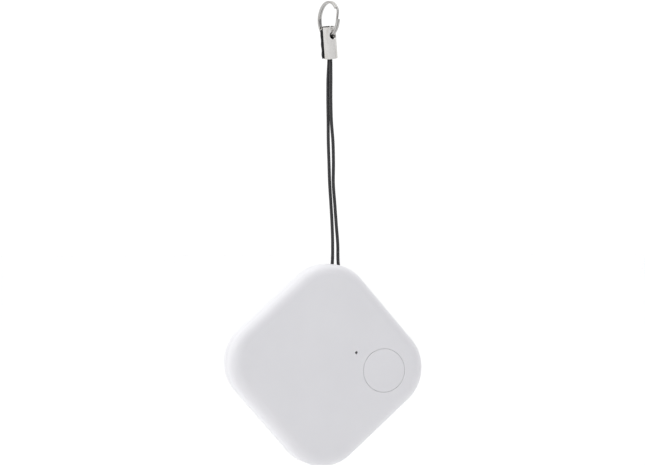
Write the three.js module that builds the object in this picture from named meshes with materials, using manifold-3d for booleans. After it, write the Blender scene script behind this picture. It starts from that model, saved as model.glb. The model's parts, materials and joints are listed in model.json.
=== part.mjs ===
// Key-finder tag on a cord strap: a rounded square case that hangs by one corner
// from a thin cord loop, a rolled metal ferrule and a small split ring.
//
// Frame: millimetres, +Z up, the button side faces -Y and +X is to its right.
// The origin is the inside top of the split ring, where a hook or a key ring bears.
import * as THREE from 'three';
import { mergeVertices } from 'three/addons/utils/BufferGeometryUtils.js';
import Module from 'manifold-3d';

const wasm = await Module();
wasm.setup();

const { degToRad } = THREE.MathUtils;

// ---------------------------------------------------------------- driving dimensions

// Case. Each case piece is drawn lying on its back: x right, y towards the strap
// corner, z towards the button side.
const side = 40; // across the flats of the square
const thickness = 8;
const cornerRadius = 10.3;
const edgeRadius = 1.8; // soft edge round the front and the back
const wall = 1.5; // side walls
const frontWall = 1.2;
const backWall = 0.9;
const partingHeight = -0.4; // where the front shell meets the back cover
const seamGap = 0.1; // between parts that touch
const caseRoll = 3.7; // degrees that the case hangs off square
const caseCentre = { x: -1.18, z: -86.2 };
const cornerReach = (side / 2 - cornerRadius) * Math.SQRT2; // from the middle to a corner's centre

// Button and sound hole
const buttonPlace = [13.83, -0.51];
const buttonRadius = 5.13;
const buttonHoleRadius = 5.25;
const buttonFlangeRadius = 5.9;
const soundHolePlace = [6.65, 3.4];
const soundHoleRadius = 0.33;

// Strap anchor in the top corner
const postPlace = [1.6, 19.3];
const postRadius = 1.0;
const shoulderRadius = 2.2;
const strapGap = 2.0; // height left free round the post for the cord
const slotWidth = 5.2;
const slotHeight = 1.6;
const slotReach = [20.4, 26.4]; // the y that the slot runs between
const pocketRib = { y: 15.3, thickness: 0.8 };

// Circuit board
const boardTop = 1.45;
const boardThickness = 0.8;
const boardClearance = 0.4; // from the side walls
const stakePlaces = [[-11, 9], [-12, -8], [0.5, -17], [10.5, 10.5]];
const stakeRadius = 0.6;
const solderGap = 0.03; // between the board and the parts on it

// Coin cell, 20 mm across and 3.2 mm thick
const cellPlace = [5.5, -4.5];
const cellRadius = 10;
const cellThickness = 3.2;
const cellTop = 0.25;

// Piezo sounder
const piezoPlace = [2.5, 6.5];
const piezoRadius = 6.4;

// Cord, ferrule and ring
const cordDiameter = 0.8;
const ferruleRadius = 1.86;
const ferruleWall = 0.36;
const ferruleAbove = 1.95; // from the ring holes to the top
const ferruleBelow = 5.65; // from the ring holes to the mouth
const ringHoleRadius = 1.0;
const holeHeading = 25; // degrees from the front towards the right
const seamHeading = -91.5;
const seamOpening = 67;
const ferruleLean = { x: 10.5, y: -7.35 }; // degrees
const ferrulePlace = { x: -0.1, z: -7.55 }; // of the middle of its ring holes
const ringInner = 3.8;
const ringOuter = 4.3;
const wireWidth = 0.45; // of one coil, along the ring's axis
const coilPitch = 0.5;
const ringHeading = 15; // degrees from the front towards the right

// ---------------------------------------------------------------- solids

const fuse = 0.2; // how far joined solids run into each other
const past = 1; // how far a cutting solid runs past a face

const front = thickness / 2;
const frontInside = front - frontWall;
const backInside = -front + backWall;
const boardBottom = boardTop - boardThickness;
const frontShellRim = partingHeight + seamGap / 2;
const backCoverRim = partingHeight - seamGap / 2;

function solidOf(geometry) {
  const bare = geometry.clone();
  bare.deleteAttribute('normal');
  bare.deleteAttribute('uv');
  const merged = mergeVertices(bare, 1e-4);
  const vertProperties = new Float32Array(merged.attributes.position.array);
  const triVerts = new Uint32Array(merged.index.array);
  return new wasm.Manifold(new wasm.Mesh({ numProp: 3, vertProperties, triVerts }));
}

function geometryOf(solid) {
  const mesh = solid.getMesh();
  const geometry = new THREE.BufferGeometry();
  geometry.setAttribute('position', new THREE.Float32BufferAttribute(mesh.vertProperties, 3));
  geometry.setIndex(Array.from(mesh.triVerts));
  return geometry;
}

function join(...geometries) {
  return geometryOf(geometries.map(solidOf).reduce((sum, next) => sum.add(next)));
}

function cut(geometry, ...tools) {
  return geometryOf(tools.map(solidOf).reduce((rest, tool) => rest.subtract(tool), solidOf(geometry)));
}

function common(first, second) {
  return geometryOf(solidOf(first).intersect(solidOf(second)));
}

// A flat outline extruded between two heights
function plate(shape, bottom, top, curveSegments = 8) {
  const geometry = new THREE.ExtrudeGeometry(shape, {
    depth: top - bottom,
    bevelEnabled: false,
    curveSegments,
  });
  return geometry.translate(0, 0, bottom);
}

// The same with both of its edges rounded
function pillow(shape, bottom, top, radius, curveSegments = 8, bevelSegments = 4) {
  const geometry = new THREE.ExtrudeGeometry(shape, {
    depth: top - bottom - 2 * radius,
    bevelThickness: radius,
    bevelSize: radius,
    bevelOffset: -radius,
    bevelSegments,
    curveSegments,
  });
  return geometry.translate(0, 0, bottom + radius);
}

function disc([x, y], radius, bottom, top, segments = 32) {
  const geometry = new THREE.CylinderGeometry(radius, radius, top - bottom, segments);
  geometry.rotateX(Math.PI / 2);
  return geometry.translate(x, y, (bottom + top) / 2);
}

function tube(place, outer, inner, bottom, top, segments = 48) {
  const bore = disc(place, inner, bottom - past, top + past, segments);
  return cut(disc(place, outer, bottom, top, segments), bore);
}

function block([x, y], width, height, bottom, top, turn = 0) {
  const geometry = new THREE.BoxGeometry(width, height, top - bottom);
  geometry.rotateZ(degToRad(turn));
  return geometry.translate(x, y, (bottom + top) / 2);
}

// The place at a heading in degrees and a distance from a centre
function around([x, y], heading, distance) {
  return [x + distance * Math.cos(degToRad(heading)), y + distance * Math.sin(degToRad(heading))];
}

// A round rod along a smooth curve through the given points
function rod(points, diameter, steps) {
  const section = new THREE.Shape();
  section.absarc(0, 0, diameter / 2, 0, 2 * Math.PI);
  return new THREE.ExtrudeGeometry(section, {
    steps,
    curveSegments: 4, // half the facets round the rod
    bevelEnabled: false,
    extrudePath: new THREE.CatmullRomCurve3(points.map((p) => new THREE.Vector3(...p))),
  });
}

// The case outline, a rounded square standing on one corner, set in by a margin
function caseOutline(margin) {
  const radius = cornerRadius - margin;
  const quarter = Math.PI / 4;
  const outline = new THREE.Shape();
  for (let corner = 0; corner < 4; corner += 1) {
    const heading = (corner * Math.PI) / 2;
    outline.absarc(
      cornerReach * Math.cos(heading),
      cornerReach * Math.sin(heading),
      radius,
      heading - quarter,
      heading + quarter,
    );
  }
  outline.closePath();
  return outline;
}

const finish = {
  whitePlastic: { color: 0xe6e6ea, roughness: 0.35, metalness: 0 },
  greenBoard: { color: 0x1d5b3a, roughness: 0.45, metalness: 0 },
  blackPlastic: { color: 0x17181a, roughness: 0.45, metalness: 0 },
  blackCord: { color: 0x1b1b1d, roughness: 0.9, metalness: 0 },
  nickel: { color: 0xc9c6c2, roughness: 0.22, metalness: 1 },
  brass: { color: 0xc8a04a, roughness: 0.3, metalness: 1 },
  ceramic: { color: 0xe4ded0, roughness: 0.6, metalness: 0 },
  foam: { color: 0x2a2a2c, roughness: 1, metalness: 0 },
  redLead: { color: 0xa8201c, roughness: 0.5, metalness: 0 },
};

function piece(name, geometry, material) {
  const mesh = new THREE.Mesh(geometry, new THREE.MeshStandardMaterial(finish[material]));
  mesh.name = name;
  return mesh;
}

// ---------------------------------------------------------------- case shells

const caseSegments = 5; // half the facets of a corner
const lip = { width: 0.65, height: 1.0 }; // the cover's tongue
const innerEdgeRadius = 0.8;
const socketClearance = 0.15; // round the end of the post
const stakeReach = 0.3; // past the back of the board
const pryNotch = { length: 6, depth: 0.7, reach: 2 }; // in the bottom corner

const caseSolid = pillow(caseOutline(0), -front, front, edgeRadius, caseSegments, 5);
const cavity = pillow(caseOutline(wall), backInside, frontInside, innerEdgeRadius, caseSegments, 2);
const strapSlot = block(
  [postPlace[0], (slotReach[0] + slotReach[1]) / 2],
  slotWidth,
  slotReach[1] - slotReach[0],
  -slotHeight / 2,
  slotHeight / 2,
);

// The rib that closes the strap's pocket off from the electronics
function ribBetween(bottom, top) {
  const rib = block([0, pocketRib.y], side, pocketRib.thickness, bottom, top);
  return common(rib, plate(caseOutline(wall - fuse), bottom - past, top + past, caseSegments));
}

function frontShell() {
  const below = block([0, 0], 2 * side, 2 * side, -2 * front, frontShellRim);
  const rebateOutline = caseOutline(wall - lip.width);
  const rebate = plate(rebateOutline, frontShellRim - past, frontShellRim + lip.height, caseSegments);
  const stakes = stakePlaces.flatMap((place) => [
    disc(place, 2 * stakeRadius, boardTop + seamGap, frontInside + fuse, 16),
    disc(place, stakeRadius, boardBottom - stakeReach, frontInside, 16),
  ]);
  const withFittings = join(
    cut(caseSolid, below, cavity, rebate),
    ribBetween(frontShellRim + lip.height, frontInside + fuse),
    disc(postPlace, shoulderRadius, strapGap / 2, frontInside + fuse),
    disc(postPlace, postRadius, backInside + fuse, frontInside),
    ...stakes,
  );
  return cut(
    withFittings,
    strapSlot,
    disc(buttonPlace, buttonHoleRadius, frontInside - past, front + past, 48),
    disc(soundHolePlace, soundHoleRadius, frontInside - past, front + past, 16),
  );
}

function backCover() {
  const above = block([0, 0], 2 * side, 2 * side, backCoverRim, 2 * front);
  const tongueTop = backCoverRim + lip.height;
  const tongueOutline = caseOutline(wall - lip.width + seamGap);
  const tongue = cut(
    plate(tongueOutline, backCoverRim - fuse, tongueTop, caseSegments),
    plate(caseOutline(wall), backCoverRim - past, tongueTop + past, caseSegments),
  );
  const socketBore = postRadius + socketClearance;
  const socket = tube(postPlace, shoulderRadius, socketBore, backInside - fuse, -strapGap / 2, 32);
  const rib = ribBetween(backInside - fuse, frontShellRim + lip.height - seamGap);
  const notchPlace = [0, -cornerReach - cornerRadius];
  const notchBottom = backCoverRim - pryNotch.depth;
  const notch = block(notchPlace, pryNotch.length, pryNotch.reach, notchBottom, tongueTop);
  return cut(join(cut(caseSolid, above, cavity), tongue, rib, socket), strapSlot, notch);
}

// ---------------------------------------------------------------- button and switch

const flange = { bottom: 2.4, top: 2.7 };
const capWall = 1;
const nibRadius = 1.5;
const switchCase = { size: 3.6, height: 0.5, wellDepth: 0.35, wellClearance: 0.15 };
const plunger = { radius: 0.8, bottom: 1.9, top: 2.3 };

function buttonCap() {
  const hollowTop = frontInside + 0.1;
  const outer = buttonRadius - capWall;
  const hollow = tube(buttonPlace, outer, nibRadius, flange.bottom - past, hollowTop, 48);
  return cut(
    join(
      disc(buttonPlace, buttonRadius, flange.bottom, front, 48),
      disc(buttonPlace, buttonFlangeRadius, flange.bottom, flange.top, 48),
    ),
    hollow,
  );
}

function switchBody() {
  const top = boardTop + switchCase.height;
  const well = disc(
    buttonPlace,
    plunger.radius + switchCase.wellClearance,
    top - switchCase.wellDepth,
    top + past,
    24,
  );
  return cut(block(buttonPlace, switchCase.size, switchCase.size, boardTop + solderGap, top), well);
}

// ---------------------------------------------------------------- circuit board

const chips = [
  { name: 'bluetooth_chip', place: [-5, -5.5], size: [5, 5, 0.8] },
  { name: 'crystal', place: [-10.3, -4.5], size: [2.5, 3.2, 0.6], material: 'nickel' },
  { name: 'chip_antenna', place: [-17.2, 0], size: [2, 7, 0.9], material: 'ceramic' },
  { name: 'matching_coil', place: [-13.2, 1.5], size: [1.6, 0.8, 0.7] },
  { name: 'bulk_capacitor', place: [-5.2, -11.2], size: [3.2, 1.6, 0.9], material: 'ceramic' },
  { name: 'supply_capacitor', place: [-0.4, -5.5], size: [0.8, 1.6, 0.7], material: 'ceramic' },
  { name: 'crystal_capacitor', place: [-8.8, -8.9], size: [1.6, 0.8, 0.7], material: 'ceramic' },
  { name: 'sounder_driver', place: [-7.6, 0.4], size: [2.9, 1.6, 0.8] },
  { name: 'pull_up_resistor', place: [7.6, -4.6], size: [0.8, 1.6, 0.5] },
];

const boardEdge = 14.5; // the y where the board stops short of the strap's pocket
const stakeHoleRadius = stakeRadius + 0.2;

function circuitBoard() {
  const outline = plate(caseOutline(wall + boardClearance), boardBottom, boardTop, caseSegments);
  const strapCorner = block(
    [0, boardEdge + side / 2],
    side,
    side,
    boardBottom - past,
    boardTop + past,
  );
  const stakeHoles = stakePlaces.map((place) => disc(place, stakeHoleRadius, 0, front, 16));
  return cut(outline, strapCorner, ...stakeHoles);
}

// Every chip is a plain block soldered flat on the front of the board
function chip({ name, place, size: [width, height, depth], material = 'blackPlastic' }) {
  const bottom = boardTop + solderGap;
  return piece(name, block(place, width, height, bottom, bottom + depth), material);
}

// ---------------------------------------------------------------- coin cell and contacts

const cellBottom = cellTop - cellThickness;
const canSheet = 0.25;
const capRadius = cellRadius - 1.2;
const capBottom = cellBottom + 0.35;
const contactTop = boardBottom - 0.05;
const holder = { inner: cellRadius + 0.25, outer: cellRadius + 1.0, bottom: -2.2 };
const fingerNotch = { place: around(cellPlace, -135, 10.75), width: 6, length: 8, top: -0.6 };
const positive = { heading: 120, width: 4, sheet: 0.2, foot: 1.4, bottom: -2.0, window: [2.2, 5] };
const positivePlace = around(cellPlace, positive.heading, cellRadius + 0.3);
const negative = { length: 9, width: 1.6, sheet: 0.15, tipReach: 3.9, tipRadius: 0.5 };

// A closed half-section, given as [radius, height] pairs, turned round the cell's axis
function turnedOnCell(profile) {
  const outline = [...profile, profile[0]].map(([r, z]) => new THREE.Vector2(r, z)).reverse();
  const geometry = new THREE.LatheGeometry(outline, 48);
  geometry.rotateX(Math.PI / 2);
  return geometry.translate(cellPlace[0], cellPlace[1], 0);
}

// The can's rim is rolled in over the gasket
function cellCan() {
  return turnedOnCell([
    [0, cellBottom],
    [0, cellBottom + canSheet],
    [cellRadius - canSheet, cellBottom + canSheet],
    [cellRadius - canSheet, cellTop - 0.55],
    [cellRadius - 0.65, cellTop - 0.35],
    [cellRadius - 0.65, cellTop - 0.1],
    [cellRadius - 0.3, cellTop - 0.2],
    [cellRadius, cellTop - 0.6],
    [cellRadius, cellBottom + 0.2],
    [cellRadius - 0.2, cellBottom],
  ]);
}

function cellCap() {
  return turnedOnCell([
    [0, capBottom],
    [0, cellTop],
    [capRadius - 0.2, cellTop],
    [capRadius, cellTop - 0.2],
    [capRadius, capBottom],
  ]);
}

function cellGasket() {
  const gasket = { outer: cellRadius - 0.75, bottom: capBottom + 0.05, top: cellTop - 0.15 };
  return tube(cellPlace, gasket.outer, capRadius + seamGap, gasket.bottom, gasket.top);
}

function batteryHolder() {
  const ring = tube(cellPlace, holder.outer, holder.inner, holder.bottom, contactTop);
  const window = block(positivePlace, ...positive.window, -front, front, positive.heading);
  const { place, width, length, top } = fingerNotch;
  return cut(ring, window, block(place, width, length, -front, top, 45));
}

// A sprung strip against the side of the cell, with a foot under the board
function positiveContact() {
  const { heading, width, sheet, foot } = positive;
  const strip = block(positivePlace, sheet, width, positive.bottom, contactTop, heading);
  const footPlace = around(positivePlace, heading, foot / 2);
  return join(strip, block(footPlace, foot, width, contactTop - sheet, contactTop, heading));
}

// A cross of sprung arms under the board, whose tips bear on the cell's cap
function negativeContact() {
  const { length, width, sheet, tipReach, tipRadius } = negative;
  const arms = [45, 135].map((turn) => {
    return block(cellPlace, length, width, contactTop - sheet, contactTop, turn);
  });
  const tips = [45, 135, 225, 315].map((heading) => {
    const tip = around(cellPlace, heading, tipReach);
    return disc(tip, tipRadius, cellTop + 0.05, contactTop, 12);
  });
  return join(...arms, ...tips);
}

// ---------------------------------------------------------------- sounder

const foam = { inner: 5.8, outer: 6.5, bottom: 2.45, top: 2.75 };
const brassDisc = { radius: piezoRadius, bottom: 2.2, top: 2.4 };
const ceramicDisc = { radius: 4.6, bottom: 1.98, top: 2.15 };
const lead = { diameter: 0.4, bow: 0.6 };

function foamRing() {
  return tube(piezoPlace, foam.outer, foam.inner, foam.bottom, foam.top);
}

function sounderDisc({ radius, bottom, top }) {
  return disc(piezoPlace, radius, bottom, top, 48);
}

// A lead lies on the board and is soldered under its disc
function sounderLead(start, end) {
  const height = boardTop + lead.diameter / 2 + solderGap;
  const middle = [(start[0] + end[0]) / 2, (start[1] + end[1]) / 2 + lead.bow];
  return rod([start, middle, end].map((place) => [...place, height]), lead.diameter, 8);
}

// ---------------------------------------------------------------- strap cord

// The loop's route in the object's own frame: down from the ferrule's mouth on the
// left, round the post in the case, and up again on the right.
const mouthHeight = -13.35;
const leftStrand = [
  [0.48, 1.42, mouthHeight],
  [0.11, 0.95, -18],
  [-0.01, 0.66, -23],
  [-0.02, 0.42, -28],
  [-0.05, 0.19, -33],
  [0.08, 0.08, -38],
  [0.28, 0.16, -43],
  [0.62, 0.22, -48],
  [0.88, 0.12, -53],
  [0.98, 0.04, -57.5],
];
const rightStrand = [
  [0.70, 0.63, mouthHeight],
  [0.61, 0.21, -18],
  [0.51, -0.06, -23],
  [0.60, -0.18, -28],
  [1.01, -0.13, -33],
  [1.16, -0.08, -38],
  [1.10, -0.16, -43],
  [1.46, -0.20, -48],
  [1.86, -0.12, -53],
  [2.24, -0.04, -57.5],
];
const strandSpread = 0.77; // half the distance between the strands in the slot
const slotMiddle = { x: -0.04, z: 4.7 }; // where they pass through it, from the post
const turnRadius = 1.65;

// A place on the lying case, in the object's frame
function hung([x, y]) {
  const roll = degToRad(caseRoll);
  return [
    caseCentre.x + x * Math.cos(roll) + y * Math.sin(roll),
    0,
    caseCentre.z + y * Math.cos(roll) - x * Math.sin(roll),
  ];
}

function cordRoute() {
  const post = hung(postPlace);
  const slot = [post[0] + slotMiddle.x, 0, post[2] + slotMiddle.z];
  const turn = [];
  for (let degrees = 180; degrees <= 360; degrees += 30) {
    const angle = degToRad(degrees);
    turn.push([post[0] + turnRadius * Math.cos(angle), 0, post[2] + turnRadius * Math.sin(angle)]);
  }
  return [
    ...leftStrand,
    [slot[0] - strandSpread, 0, slot[2]],
    ...turn,
    [slot[0] + strandSpread, 0, slot[2]],
    ...[...rightStrand].reverse(),
  ];
}

// ---------------------------------------------------------------- ferrule and ring

// In the ferrule's own frame z is its axis and z = 0 the height of the ring holes
function ferrule() {
  const toShape = (heading) => degToRad(heading - 90);
  const start = toShape(seamHeading + seamOpening / 2);
  const end = toShape(seamHeading - seamOpening / 2) + 2 * Math.PI;
  const outline = new THREE.Shape();
  outline.absarc(0, 0, ferruleRadius, start, end, false);
  outline.absarc(0, 0, ferruleRadius - ferruleWall, end, start, true);
  outline.closePath();
  const holes = new THREE.CylinderGeometry(ringHoleRadius, ringHoleRadius, 4 * ferruleRadius, 24);
  holes.rotateZ(degToRad(holeHeading));
  return cut(plate(outline, -ferruleBelow, ferruleAbove, 12), holes);
}

// Both ends of the cord, melted together and squeezed by the crimp
const crimp = { top: -2.4, bottom: -4.8, radius: 1.1 };
const fusedEnd = { place: [-0.1, 0.37], radius: 0.55, top: -2.2, bottom: -5.3 };

function crimpedCordEnd() {
  const [x, y] = fusedEnd.place;
  const ends = [[x, y], [-x, -y]].map((place) => {
    return disc(place, fusedEnd.radius, fusedEnd.bottom, fusedEnd.top, 16);
  });
  return join(...ends, disc([0, 0], crimp.radius, crimp.bottom, crimp.top, 24));
}

// Nearly two turns of flat wire. The wire steps over to the second coil where only
// one coil is left, between the two cut ends.
const ringTurn = { firstEnd: 95, stepStart: 415, stepEnd: 455, secondEnd: 775 }; // degrees
const wireBevel = 0.1;

class SplitRingPath extends THREE.Curve {
  getPoint(t) {
    const degrees = THREE.MathUtils.lerp(ringTurn.firstEnd, ringTurn.secondEnd, t);
    const step = THREE.MathUtils.smoothstep(degrees, ringTurn.stepStart, ringTurn.stepEnd);
    const radius = (ringInner + ringOuter) / 2;
    const angle = degToRad(degrees);
    return new THREE.Vector3(
      radius * Math.sin(angle),
      coilPitch * (0.5 - step),
      radius * Math.cos(angle),
    );
  }
}

function splitRing() {
  const half = { across: wireWidth / 2, deep: (ringOuter - ringInner) / 2 };
  const section = new THREE.Shape();
  section.moveTo(-half.across + wireBevel, -half.deep);
  section.lineTo(half.across - wireBevel, -half.deep);
  section.lineTo(half.across, -half.deep + wireBevel);
  section.lineTo(half.across, half.deep - wireBevel);
  section.lineTo(half.across - wireBevel, half.deep);
  section.lineTo(-half.across + wireBevel, half.deep);
  section.lineTo(-half.across, half.deep - wireBevel);
  section.lineTo(-half.across, -half.deep + wireBevel);
  section.closePath();
  return new THREE.ExtrudeGeometry(section, {
    steps: 84,
    bevelEnabled: false,
    extrudePath: new SplitRingPath(),
  });
}

// ---------------------------------------------------------------- assembly

const object = new THREE.Group();

const ring = piece('split_ring', splitRing(), 'nickel');
ring.position.z = -ringInner;
ring.rotation.z = degToRad(ringHeading - 90);
object.add(ring);

const ferruleGroup = new THREE.Group();
ferruleGroup.position.set(ferrulePlace.x, 0, ferrulePlace.z);
ferruleGroup.rotation.set(degToRad(ferruleLean.x), degToRad(ferruleLean.y), 0);
ferruleGroup.add(piece('ferrule', ferrule(), 'nickel'));
ferruleGroup.add(piece('crimped_cord_end', crimpedCordEnd(), 'blackCord'));
object.add(ferruleGroup);

object.add(piece('strap_cord', rod(cordRoute(), cordDiameter, 80), 'blackCord'));

const plungerDisc = disc(buttonPlace, plunger.radius, plunger.bottom, plunger.top, 24);

// The case lies on its back until these groups stand it up
const lyingCase = new THREE.Group();
lyingCase.rotation.x = Math.PI / 2;
lyingCase.add(
  piece('front_shell', frontShell(), 'whitePlastic'),
  piece('back_cover', backCover(), 'whitePlastic'),
  piece('button_cap', buttonCap(), 'whitePlastic'),
  piece('switch_body', switchBody(), 'nickel'),
  piece('switch_plunger', plungerDisc, 'blackPlastic'),
  piece('circuit_board', circuitBoard(), 'greenBoard'),
  ...chips.map(chip),
  piece('cell_can', cellCan(), 'nickel'),
  piece('cell_cap', cellCap(), 'nickel'),
  piece('cell_gasket', cellGasket(), 'blackPlastic'),
  piece('battery_holder', batteryHolder(), 'blackPlastic'),
  piece('positive_contact', positiveContact(), 'nickel'),
  piece('negative_contact', negativeContact(), 'nickel'),
  piece('sounder_foam_ring', foamRing(), 'foam'),
  piece('sounder_brass_disc', sounderDisc(brassDisc), 'brass'),
  piece('sounder_ceramic_disc', sounderDisc(ceramicDisc), 'ceramic'),
  piece('sounder_red_lead', sounderLead([0.2, 5.2], [-7.4, 3.9]), 'redLead'),
  piece('sounder_black_lead', sounderLead([-2.9, 6.9], [-7.6, 5.9]), 'blackPlastic'),
);

const hangingCase = new THREE.Group();
hangingCase.position.set(caseCentre.x, 0, caseCentre.z);
hangingCase.rotation.y = degToRad(caseRoll);
hangingCase.add(lyingCase);
object.add(hangingCase);

export default object;
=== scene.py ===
# A key-finder tag on a cord strap: a white rounded square case that hangs by one corner
# from a black cord loop, a rolled nickel ferrule and a small split ring.
import json
from math import cos, pi, radians, sin, tau

import bmesh
import bpy
import numpy as np
from mathutils import Matrix, Vector

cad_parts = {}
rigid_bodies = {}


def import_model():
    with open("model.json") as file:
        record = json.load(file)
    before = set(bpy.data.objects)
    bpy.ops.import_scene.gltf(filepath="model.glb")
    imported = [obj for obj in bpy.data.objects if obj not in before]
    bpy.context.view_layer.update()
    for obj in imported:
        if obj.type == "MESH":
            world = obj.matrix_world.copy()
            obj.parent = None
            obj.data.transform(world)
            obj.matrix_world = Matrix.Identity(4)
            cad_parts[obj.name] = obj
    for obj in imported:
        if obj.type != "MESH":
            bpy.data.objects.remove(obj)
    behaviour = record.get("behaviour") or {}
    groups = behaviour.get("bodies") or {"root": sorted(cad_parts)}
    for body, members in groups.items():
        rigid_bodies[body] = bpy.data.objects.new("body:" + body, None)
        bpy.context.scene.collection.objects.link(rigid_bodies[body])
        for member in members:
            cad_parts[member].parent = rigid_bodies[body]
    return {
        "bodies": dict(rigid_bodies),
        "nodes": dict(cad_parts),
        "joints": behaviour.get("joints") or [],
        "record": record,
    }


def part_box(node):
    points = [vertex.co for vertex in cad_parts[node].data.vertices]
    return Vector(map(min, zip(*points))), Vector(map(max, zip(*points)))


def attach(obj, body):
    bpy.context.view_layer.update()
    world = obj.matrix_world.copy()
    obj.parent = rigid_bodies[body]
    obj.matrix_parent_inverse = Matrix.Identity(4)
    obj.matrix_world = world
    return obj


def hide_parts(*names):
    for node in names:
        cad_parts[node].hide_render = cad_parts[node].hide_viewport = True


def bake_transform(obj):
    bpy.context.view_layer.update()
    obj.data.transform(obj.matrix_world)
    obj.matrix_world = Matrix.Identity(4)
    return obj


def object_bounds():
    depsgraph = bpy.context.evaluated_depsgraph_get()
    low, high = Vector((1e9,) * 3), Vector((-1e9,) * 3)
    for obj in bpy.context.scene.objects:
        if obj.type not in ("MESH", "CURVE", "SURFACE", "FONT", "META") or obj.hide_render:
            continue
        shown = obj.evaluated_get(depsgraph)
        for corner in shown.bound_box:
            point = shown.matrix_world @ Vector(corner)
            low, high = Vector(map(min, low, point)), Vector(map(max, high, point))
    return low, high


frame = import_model()
cad_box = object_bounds()


# ---------- camera and studio
# The tag hangs in front of a white room, a little above a pale matt floor. A long lens
# looks level at it from a little to the left, and the main light is high on that side.

aim = Vector((-0.00156, 0, -0.0547))
camera_heading = radians(17.4)
camera_distance = 0.491
floor_height = cad_box[0].z - 0.018
floor_reach = 6.0


def in_scene(name, data):
    thing = bpy.data.objects.new(name, data)
    bpy.context.scene.collection.objects.link(thing)
    return thing


camera = in_scene("camera", bpy.data.cameras.new("camera"))
camera.data.sensor_width = 36
camera.data.lens = 115
camera.data.clip_start = 0.02
camera.location = aim - camera_distance * Vector((sin(camera_heading), cos(camera_heading), 0))
camera.rotation_euler = (pi / 2, 0, -camera_heading)
bpy.context.scene.camera = camera
bpy.context.scene.view_settings.view_transform = "Standard"


def operator(operation, swapped=False):
    """A method that adds a Math node for an operation on a value and something else."""

    def result(value, other):
        return value.math(operation, *((other, value) if swapped else (value, other)))

    return result


class Value:
    """A node's output. Used in a sum, it adds the Math nodes that work the sum out."""

    __add__ = __radd__ = operator("ADD")
    __sub__ = operator("SUBTRACT")
    __rsub__ = operator("SUBTRACT", swapped=True)
    __mul__ = __rmul__ = operator("MULTIPLY")
    __truediv__ = operator("DIVIDE")
    __mod__ = operator("FLOORED_MODULO")
    __gt__ = operator("GREATER_THAN")
    __lt__ = operator("LESS_THAN")

    def __init__(self, nodes, socket):
        self.nodes = nodes
        self.socket = socket

    def math(self, operation, *values):
        return self.nodes.add("ShaderNodeMath", {"operation": operation}, dict(enumerate(values)))


class Nodes:
    """A node tree, with one call to add a node and give its settings and its inputs."""

    def __init__(self, tree):
        self.tree = tree

    def add(self, kind, settings=None, inputs=None, output=0):
        node = self.tree.nodes.new(kind)
        for name, setting in (settings or {}).items():
            if name == "stops":
                self.set_stops(node.color_ramp.elements, setting)
            else:
                setattr(node, name, setting)
        for socket, value in (inputs or {}).items():
            if isinstance(value, Value):
                self.tree.links.new(value.socket, node.inputs[socket])
            else:
                node.inputs[socket].default_value = value
        return Value(self, node.outputs[output])

    @staticmethod
    def set_stops(elements, stops):
        while len(elements) < len(stops):
            elements.new(1.0)
        for element, (place, colour) in zip(elements, stops):
            element.position = place
            element.color = (*colour, 1.0)

    def split(self, vector):
        """The X, Y and Z of a vector."""
        node = self.add("ShaderNodeSeparateXYZ", inputs={0: vector}).socket.node
        return [Value(self, output) for output in node.outputs]


class Finish(Nodes):
    """A surface finish. What never changes over it is set on the shader's own sockets."""

    def __init__(self, name, constants):
        self.material = bpy.data.materials.new(name)
        self.material.use_nodes = True
        super().__init__(self.material.node_tree)
        self.shader = self.tree.nodes["Principled BSDF"]
        for socket, constant in constants.items():
            self.shader.inputs[socket].default_value = constant

    def place(self, output="Object", **mapping):
        """Coordinates on the piece, turned, moved or stretched by a Mapping node."""
        kind = mapping.pop("kind", "POINT")
        here = self.add("ShaderNodeTexCoord")
        here.socket = here.socket.node.outputs[output]
        return self.add("ShaderNodeMapping", {"vector_type": kind}, {"Vector": here, **mapping})

    def noise(self, place, size, detail=2.0, stretch=None):
        """Noise from 0 to 1, with lumps of a size in the units of its coordinates."""
        if stretch:
            place = self.add("ShaderNodeMapping", None, {"Vector": place, "Scale": stretch})
        inputs = {"Vector": place, "Scale": 1 / size, "Detail": detail}
        return self.add("ShaderNodeTexNoise", None, inputs)

    def ramp(self, value, *stops):
        return self.add("ShaderNodeValToRGB", {"stops": stops}, {"Fac": value})

    def mixed(self, share, first, second):
        """Two colours, given as links or as red, green and blue."""
        first, second = [c if isinstance(c, Value) else (*c, 1.0) for c in (first, second)]
        return self.add("ShaderNodeMix", {"data_type": "RGBA"}, {0: share, 6: first, 7: second}, 2)

    def drive(self, sockets):
        for socket, value in sockets.items():
            self.tree.links.new(value.socket, self.shader.inputs[socket])

    def bump(self, height, depth):
        """Relief whose height of 1 stands for a depth in metres."""
        inputs = {"Height": height, "Distance": depth, "Strength": 1.0}
        self.drive({"Normal": self.add("ShaderNodeBump", None, inputs)})


def make_floor():
    reach = floor_reach
    corners = [(-reach, -reach), (reach, -reach), (reach, reach), (-reach, reach)]
    mesh = bpy.data.meshes.new("floor")
    mesh.from_pydata([(x, y, floor_height) for x, y in corners], [], [(0, 1, 2, 3)])
    finish = Finish("pale_floor", {"Roughness": 0.9})
    mottle = finish.noise(finish.place(), 0.06)
    shades = (0.3, (0.93, 0.93, 0.93)), (0.7, (0.95, 0.95, 0.95))
    finish.drive({"Base Color": finish.ramp(mottle, *shades)})
    mesh.materials.append(finish.material)
    floor = in_scene("floor", mesh)


def soft_light(name, place, size, power):
    lamp = bpy.data.lights.new(name, "AREA")
    lamp.size = size
    lamp.energy = power
    light = in_scene(name, lamp)
    light.location = place
    light.rotation_euler = (Vector(place) - aim).to_track_quat("Z", "Y").to_euler()


def sky_light(strength, spread_angle):
    """Straight down, so that the floor comes out as white as the walls."""
    lamp = bpy.data.lights.new("sky_light", "SUN")
    lamp.energy = strength
    lamp.angle = spread_angle
    in_scene("sky_light", lamp)


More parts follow.
